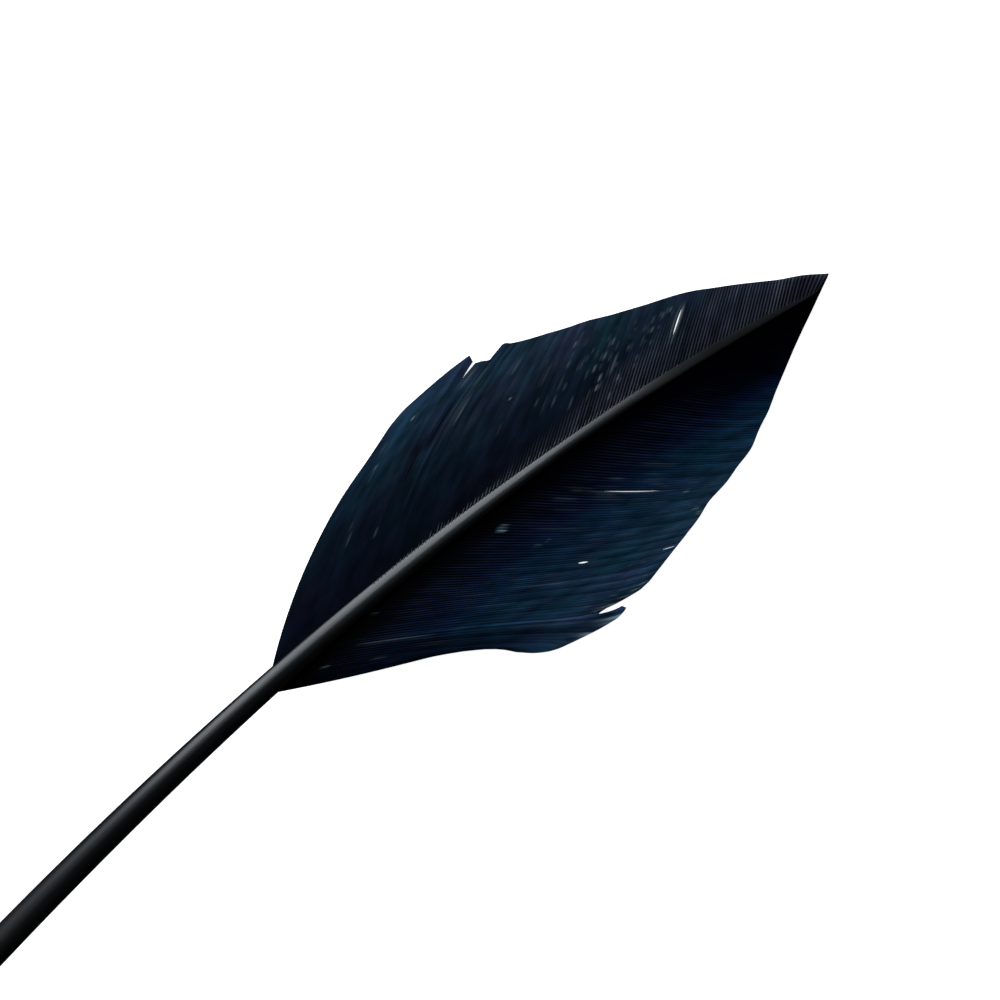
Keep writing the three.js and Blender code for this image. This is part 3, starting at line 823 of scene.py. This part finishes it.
# The right vane
# The same barbs on the shaft's other flank. This vane sinks near the shaft and runs out flat, its first
# barbs droop towards the quill, and a notch parts a frayed lock from the rest.
RIGHT_MARGIN = (
    (163.5, 198.1, -10.3), (166.2, 200.6, -12.8), (168.8, 203.6, -14.7), (170.4, 206.2, -15.6),
    (171.4, 208.2, -16.2), (172.3, 210.6, -16.9), (173.3, 213.2, -17.5), (174.1, 215.2, -17.8),
    (174.6, 216.3, -17.7), (175.1, 217.3, -17.35), (175.6, 215.6, -15.6), (176.1, 215.0, -15.2),
    (176.9, 216.6, -15.8), (178, 219.3, -16.5), (179.2, 221.2, -16.85), (181, 222.7, -16.85),
    (183.5, 224.3, -16.65), (186.5, 226.1, -16.35), (192.4, 229.4, -15.8), (199.1, 233, -15.25),
    (205.7, 236.6, -14.6), (212.3, 240.1, -13.65), (218.8, 243.8, -13.35), (224.8, 247.3, -12.65),
    (230.9, 250.9, -12), (237.6, 254.3, -10.5), (244.4, 257.7, -9.2), (250.8, 260.9, -7.6),
    (256.9, 264.2, -6.1), (262.7, 267.5, -4.6), (268.5, 270.9, -3.15), (273.5, 274.3, -1.8),
    (277, 277.2, -0.6), (280, 281.05, 0.97),
)
RIGHT_ANGLES = (
    (163.5, 31.3), (168, 31), (174, 31.5), (180, 33), (198, 41), (272, 45), (277, 24), (280, -45),
)
RIGHT_BEND = 0.6
# How far the barbs' ends swing aside, in mm: down at the vane's foot, and up into the lock at the notch.
RIGHT_SAG = (
    (163.5, 4.1), (170, 1), (174, -2.3), (175.5, -3.3), (181, -2.6), (190, -1), (200, 0), (280, 0),
)
SINK_POWER = 1.4
# Ridges stand sharp up to the first distance from the shaft, and have sunk in at the second. Here they lie
# towards the tip.
RIGHT_RIDGE_SUNK = 0.03
RIGHT_RIDGE_SHARP = 0.04
RIGHT_RIDGE_FADE = (8, 20)
RIGHT_CROWN = 0.1
RIGHT_SECTION = ((-0.6, -0.6), (-0.12, 0.3), (0.18, 1), (0.6, 0), (0.18, -1))
RIGHT_SLITS = (
    (174.6, 0.84, 1, 0.6, 0.9, 2.5), (218.3, 0.31, 0.69, 0.16, 0, 1.3), (194.4, 0.915, 0.993, 0.22, 0, 1.3),
    (195.1, 0.563, 0.607, 0.55, 0, 1.3),
)
RIGHT_MARKS = (
    (218.4, 0.28, 0.72, 0.35, 0.9), (217.9, 0.77, 0.81, 0.5, 1.3), (210, 0.92, 0.97, 0.5, 1.8),
    (207.8, 0.96, 0.999, 0.5, 1.6), (206.8, 0.118, 0.16, 0.35, 2.6), (207.8, 0.105, 0.143, 0.35, 2.4),
    (202.4, 0.31, 0.35, 0.4, 0.5), (203.9, 0.34, 0.36, 0.4, 0.6), (168.8, 0.26, 0.33, 0.4, 0.5),
    (183.5, 0.03, 0.06, 0.4, 0.25), (185.3, 0.92, 0.95, 0.4, 0.6), (168.7, 0.09, 0.13, 0.4, 0.9),
    (176.6, 0.9, 1, 1.2, -0.5), (179.4, 0.93, 1, 1.5, -0.6), (182.6, 0.95, 1, 2.2, -0.6),
    (187, 0.96, 1, 2.6, -0.5), (178, 0.8, 0.97, 2, 0.2), (180.4, 0.82, 0.86, 0.4, 0.5),
    (178.2, 0.76, 0.8, 0.4, 0.5), (173.2, 0.82, 1.02, 2, 0.4), (170.5, 0.9, 1.02, 1.6, 0.3),
    (174.4, 0.55, 0.86, 0.3, 0.45),
    (207, 0.36, 0.487, 0.35, 0.45), (227, 0.378, 0.63, 0.35, 0.5), (174, 0.1, 0.34, 0.35, 0.8),
)
# The frayed barbs on both sides of the notch, counted from the first one above it: the shares of each
# between which it is paler or darker, and how strong that is.
FRAYED_BARBS = (
    (-6, 0.93, 0.99, -0.7), (-5, 0.92, 1, 2.4), (-4, 0.9, 1, -0.8), (-3, 0.9, 1, 1.6), (-2, 0.82, 1, 2.8),
    (-1, 0.86, 0.98, -0.9), (1, 0.86, 0.93, 1.6), (2, 0.86, 0.95, 2.2), (3, 0.88, 0.97, -0.8),
    (4, 0.88, 0.95, 1.5), (6, 0.91, 0.97, 1.8), (7, 0.9, 0.99, -0.8), (8, 0.93, 0.98, 1.2),
)
RIGHT_FLECKS = (
    (206, 227, 0.24, 0.62, 1.2, 0.2, 0.26), (190, 206, 0.3, 0.7, 0.7, 0.2, 0.2),
    (170, 190, 0.25, 0.8, 0.9, 0.25, 0.2), (204, 224, 0.6, 0.97, 0.7, 0.1, 0.3),
    (174, 196, 0.8, 0.98, 0.8, 0.05, 0.4), (168, 250, 0.4, 0.98, 0.5, 0.2, -0.3),
)
# The band of fine lines, painted highlights on the rami, beside the black strip at the shaft, which is
# painted
# shadow of the shaft: where it rises and where it fades, in mm from the shaft, and where it ends along the
# shaft.
RIGHT_GLEAM_RISE = (2.5, 6)
RIGHT_GLEAM_FADE = (9, 18)
RIGHT_GLEAM_END = (228, 258)


def right_gleam(place, out):
    """How strong the rami's painted highlight is, in that band."""
    band = smooth(*RIGHT_GLEAM_RISE, out) * (1 - smooth(*RIGHT_GLEAM_FADE, out))
    return band * (1 - smooth(*RIGHT_GLEAM_END, place))


right = {
    "side": -1, "margin": RIGHT_MARGIN, "angles": RIGHT_ANGLES, "bend": RIGHT_BEND, "sags": RIGHT_SAG,
    "fall": lambda t: (1 - np.clip(t, 0, 1)) ** SINK_POWER, "slits": RIGHT_SLITS, "marks": RIGHT_MARKS,
    "flecks": RIGHT_FLECKS, "crown": RIGHT_CROWN, "section": RIGHT_SECTION,
    "ridge": lambda place, out: RIGHT_RIDGE_SUNK + RIGHT_RIDGE_SHARP * (1 - smooth(*RIGHT_RIDGE_FADE, out)),
    "gleam": right_gleam,
}
right_roots = barb_roots(RIGHT_MARGIN[0][0])[0]
above_notch = np.argmin(abs(right_roots - RIGHT_SLITS[0][0])) + 1
for barb, low, high, strength in FRAYED_BARBS:
    right["marks"] += ((right_roots[above_notch + barb], low, high, ONE_BARB, strength),)
right_vane = build_vane("right_vane", right, np.random.default_rng(23))
# The right vane's near-black first 5 mm beside the shaft is painted shadow of the shaft, and at the tip it
# reaches 8 mm out as painted shade. The blue beyond is partly dye and partly painted sheen.
RIGHT_DYE_SHADE_AND_SHEEN = ((0, "#020303"), (4, "#050507"), (5.5, "#090b13"), (7.7, "#0d1428"), (10, "#0b1c36"),
             (13, "#0f2843"), (16, "#1b3955"), (24, "#294866"))
RIGHT_TIP_DYE_SHADE_AND_SHEEN = ((0, "#000002"), (6, "#00000a"), (8, "#000311"), (10, "#030e28"), (13, "#0d2c44"),
                 (17, "#1a3b53"), (24, "#304d60"))
# The gleam colour is the rami's painted highlight, and the rubbed colour that of pale rubbed barbs.
RIGHT_GLEAM = "#202840"
RIGHT_RUBBED = "#697d88"
RIGHT_STREAKS = 0.2
right_vane.data.materials.append(
    vane_material("barbs_right_dye_shade_and_sheen", RIGHT_DYE_SHADE_AND_SHEEN, RIGHT_TIP_DYE_SHADE_AND_SHEEN, RIGHT_GLEAM, RIGHT_RUBBED, RIGHT_STREAKS))
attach(right_vane, "root")
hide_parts("feather")

# The floor, the light and the camera
# A white floor that turns up into a wide round backdrop, one soft slanted light on the feather's left, and
# a long lens that looks straight down.

# In metres: the floor's radius, the radius of its turn upwards and the wall above that. The paper glows a
# little under pure white, and lights nothing.
COVE_SIDES = 96
COVE_STEPS = 9
COVE_FLOOR = 3.4
COVE_TURN = 0.8
COVE_WALL = 1.2
PAPER_GLOW = 0.985
bpy.ops.object.select_all(action="DESELECT")
bpy.ops.mesh.primitive_circle_add(vertices=COVE_SIDES, radius=COVE_FLOOR, fill_type="NGON",
                                  location=(0, 0, 0))
cove = bpy.context.object
cove.name = "cove"
bpy.ops.object.mode_set(mode="EDIT")
bpy.ops.mesh.select_mode(type="EDGE")
bpy.ops.mesh.select_all(action="SELECT")
bpy.ops.mesh.region_to_loop()
radius = COVE_FLOOR
height = 0
for step in range(1, COVE_STEPS + 1):
    turn = math.pi / 2 * step / COVE_STEPS
    next_radius = COVE_FLOOR + COVE_TURN * math.sin(turn)
    next_height = COVE_TURN * (1 - math.cos(turn))
    bpy.ops.mesh.extrude_region_move(TRANSFORM_OT_translate={"value": (0, 0, next_height - height)})
    grow = next_radius / radius
    bpy.ops.transform.resize(value=(grow, grow, 1), center_override=(0, 0, next_height))
    radius = next_radius
    height = next_height
bpy.ops.mesh.extrude_region_move(TRANSFORM_OT_translate={"value": (0, 0, COVE_WALL)})
bpy.ops.mesh.select_all(action="SELECT")
bpy.ops.mesh.normals_make_consistent(inside=True)
bpy.ops.object.mode_set(mode="OBJECT")
bpy.ops.object.shade_smooth()
paper, tree, shader = new_material("white_backdrop_paper")
shader.inputs["Base Color"].default_value = linear("#ffffff")
shader.inputs["Roughness"].default_value = 1.0
shader.inputs["Specular IOR Level"].default_value = 0.0
shader.inputs["Emission Color"].default_value = linear("#ffffff")
shader.inputs["Emission Strength"].default_value = PAPER_GLOW
cove.data.materials.append(paper)
cove.visible_diffuse = False
cove.visible_glossy = False
cove.visible_shadow = False

# The light's upper and lower edges, as places to the feather's left and over the floor, in metres.
LIGHT_TOP = (0.22, 0.4)
LIGHT_FOOT = (0.45, 0.0)
LIGHT_MIDDLE_X = 0.105
LIGHT_WIDTH = 0.21
LIGHT_RADIANCE = 6.5
LIGHT_TINT = "#eff8ff"
ROOM_LIGHT = 0.015
slant = math.hypot(LIGHT_FOOT[0] - LIGHT_TOP[0], LIGHT_TOP[1] - LIGHT_FOOT[1])
panel = bpy.data.lights.new("softbox", "AREA")
panel.shape = "RECTANGLE"
panel.size = LIGHT_WIDTH
panel.size_y = slant
panel.energy = LIGHT_RADIANCE * math.pi * LIGHT_WIDTH * slant
panel.color = linear(LIGHT_TINT)[:3]
softbox = bpy.data.objects.new("softbox", panel)
bpy.context.scene.collection.objects.link(softbox)
softbox.location = (LIGHT_MIDDLE_X, (LIGHT_TOP[0] + LIGHT_FOOT[0]) / 2, (LIGHT_TOP[1] + LIGHT_FOOT[1]) / 2)
lean = math.atan2(LIGHT_TOP[1] - LIGHT_FOOT[1], LIGHT_FOOT[0] - LIGHT_TOP[0])
softbox.rotation_euler = (-lean, 0, 0)
softbox.visible_camera = False

world = bpy.data.worlds.new("studio")
world.use_nodes = True
world.node_tree.nodes["Background"].inputs["Color"].default_value = (1, 1, 1, 1)
world.node_tree.nodes["Background"].inputs["Strength"].default_value = ROOM_LIGHT
bpy.context.scene.world = world
bpy.context.scene.view_settings.view_transform = "Standard"

# The photo is a square turned against the frame. It shows 170 mm, 5 mm over the floor.
PHOTO_TURN = math.radians(-42.624)
PHOTO_MIDDLE = (0.07335, 0.00298)
PHOTO_WIDTH = 0.17
PHOTO_LEVEL = 0.005
lens = bpy.data.cameras.new("camera")
lens.lens = 300
lens.sensor_width = 36
lens.clip_end = 20
camera = bpy.data.objects.new("camera", lens)
bpy.context.scene.collection.objects.link(camera)
camera.location = (*PHOTO_MIDDLE, PHOTO_LEVEL + PHOTO_WIDTH * lens.lens / lens.sensor_width)
camera.rotation_euler = (0, 0, PHOTO_TURN)
bpy.context.scene.camera = camera
